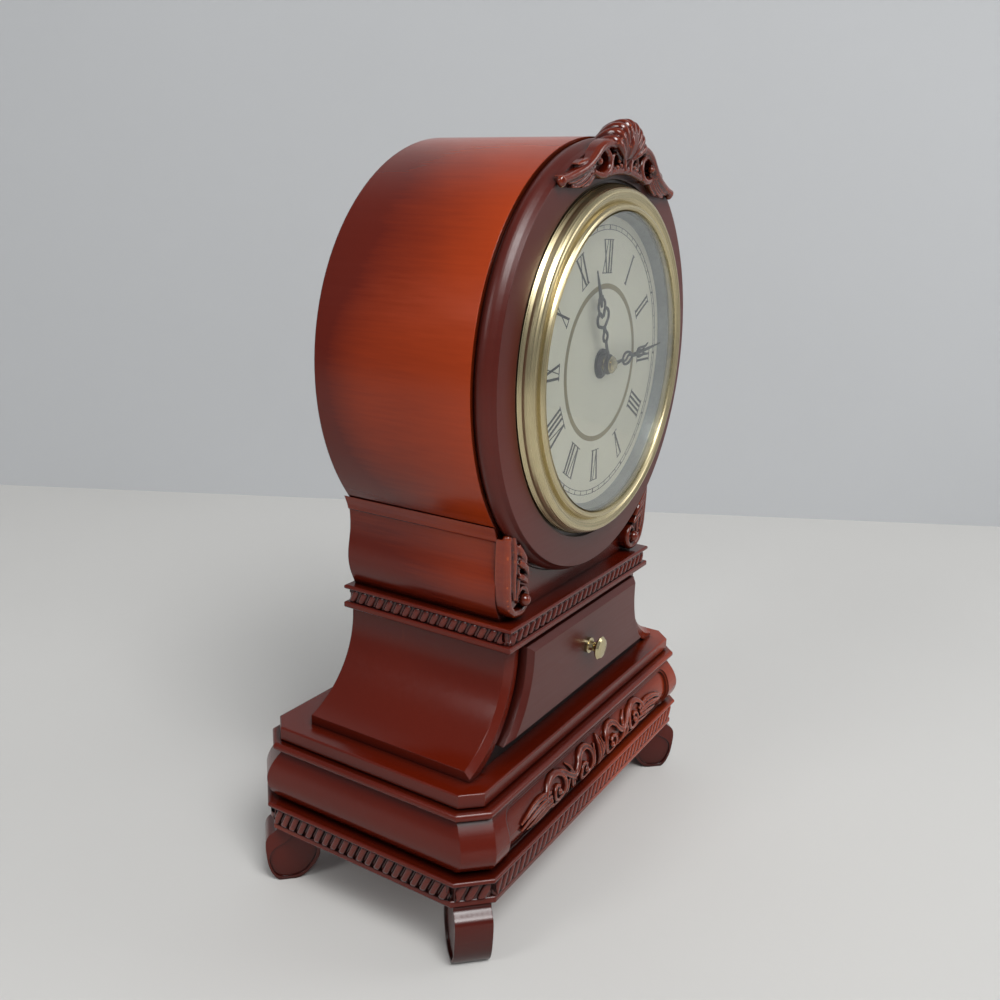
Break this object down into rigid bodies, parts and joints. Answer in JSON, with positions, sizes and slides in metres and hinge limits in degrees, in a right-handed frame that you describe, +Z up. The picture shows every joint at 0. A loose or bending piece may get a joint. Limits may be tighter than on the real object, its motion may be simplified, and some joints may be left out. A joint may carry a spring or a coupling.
{
  "type": "tambour mantel clock",
  "caption": "Round drum mantel clock on a flared waist with a drawer, carved crest, rope mouldings and scroll feet.",
  "frame": {"origin": "centre of the bounding box, on the ground under the feet", "axes": "+Z up, -Y towards the viewer of the dial, +X to the viewer's right"},
  "size_m": [0.233, 0.1358, 0.3637],
  "materials": {
    "wood_case": "gloss lacquered cherry-stained wood",
    "wood_carved": "gloss lacquered carving",
    "wood_dark": "dark stained wood",
    "wood_plain": "plain wood",
    "board": "painted fibre board",
    "brass": "brushed, lacquered",
    "gold_print": "printed gold ring",
    "glass": "clear flat glass",
    "dial_paint": "satin ivory paint",
    "grey_plastic": "matt grey",
    "black_print": "printed black",
    "hand_black": "black paint",
    "black_plastic": "matt moulded",
    "steel": "plated",
    "cell_jacket": "printed jacket"
  },
  "bodies": {
    "case": {"back_board": "board", "base_box": "wood_case", "base_cap": "wood_case", "base_carving": "wood_carved", "battery_cells": "cell_jacket", "bezel": "brass", "board_screws": "steel", "bracket_left": "wood_carved", "bracket_right": "wood_carved", "bush_nut": "brass", "bush_washer": "brass", "centre_bush": "brass", "collar_board": "wood_case", "collar_rope": "wood_carved", "cradle_block": "wood_case", "crest_carving": "wood_carved", "dial_band": "gold_print", "dial_glass": "glass", "dial_numerals": "black_print", "dial_plate": "dial_paint", "dial_reflector": "grey_plastic", "door_hinge_fixed": "steel", "door_hinge_pins": "steel", "drawer_runners": "wood_plain", "drum_shell": "wood_case", "foot_front_left": "wood_carved", "foot_front_right": "wood_carved", "foot_rear_left": "wood_carved", "foot_rear_right": "wood_carved", "front_ring": "wood_case", "lower_moulding": "wood_case", "lower_rope": "wood_carved", "movement_case": "black_plastic", "speaker": "black_plastic", "waist_face": "wood_dark", "waist_rear": "wood_dark", "waist_side_left": "wood_case", "waist_side_right": "wood_case"},
    "hour_hand": {"hour_hand": "hand_black"},
    "minute_hand": {"minute_hand": "hand_black", "minute_shaft": "steel", "hand_cap": "brass"},
    "drawer": {"drawer_front": "wood_case", "drawer_tray": "wood_plain", "drawer_knob": "brass", "drawer_knob_screw": "steel"},
    "access_door": {"door_panel": "board", "door_hinge_moving": "steel", "door_knob": "brass"},
    "set_knob": {"set_knob": "black_plastic"},
    "chime_switch": {"chime_switch": "black_plastic"}
  },
  "joints": [
    {"name": "minute_spin", "type": "hinge", "parent": "case", "child": "minute_hand", "pos_m": [0, -0.0505, 0.2564], "axis": [0, 1, 0], "continuous": true},
    {"name": "hour_spin", "type": "hinge", "parent": "case", "child": "hour_hand", "pos_m": [0, -0.0505, 0.2564], "axis": [0, 1, 0], "continuous": true},
    {"name": "set_knob_spin", "type": "hinge", "parent": "case", "child": "set_knob", "pos_m": [0.018, -0.0223, 0.2764], "axis": [0, 1, 0], "continuous": true},
    {"name": "drawer_slide", "type": "slide", "parent": "case", "child": "drawer", "axis": [0, -1, 0], "range_m": [0, 0.06]},
    {"name": "door_hinge", "type": "hinge", "parent": "case", "child": "access_door", "pos_m": [-0.0482, 0.0336, 0.2564], "axis": [0, 0, 1], "range_deg": [0, 110]},
    {"name": "switch_slide", "type": "slide", "parent": "case", "child": "chime_switch", "axis": [1, 0, 0], "range_m": [0, 0.006]}
  ],
  "couplings": [
    {"joint": "hour_spin", "follows": "minute_spin", "ratio": 0.083333},
    {"joint": "set_knob_spin", "follows": "minute_spin", "ratio": -2}
  ]
}
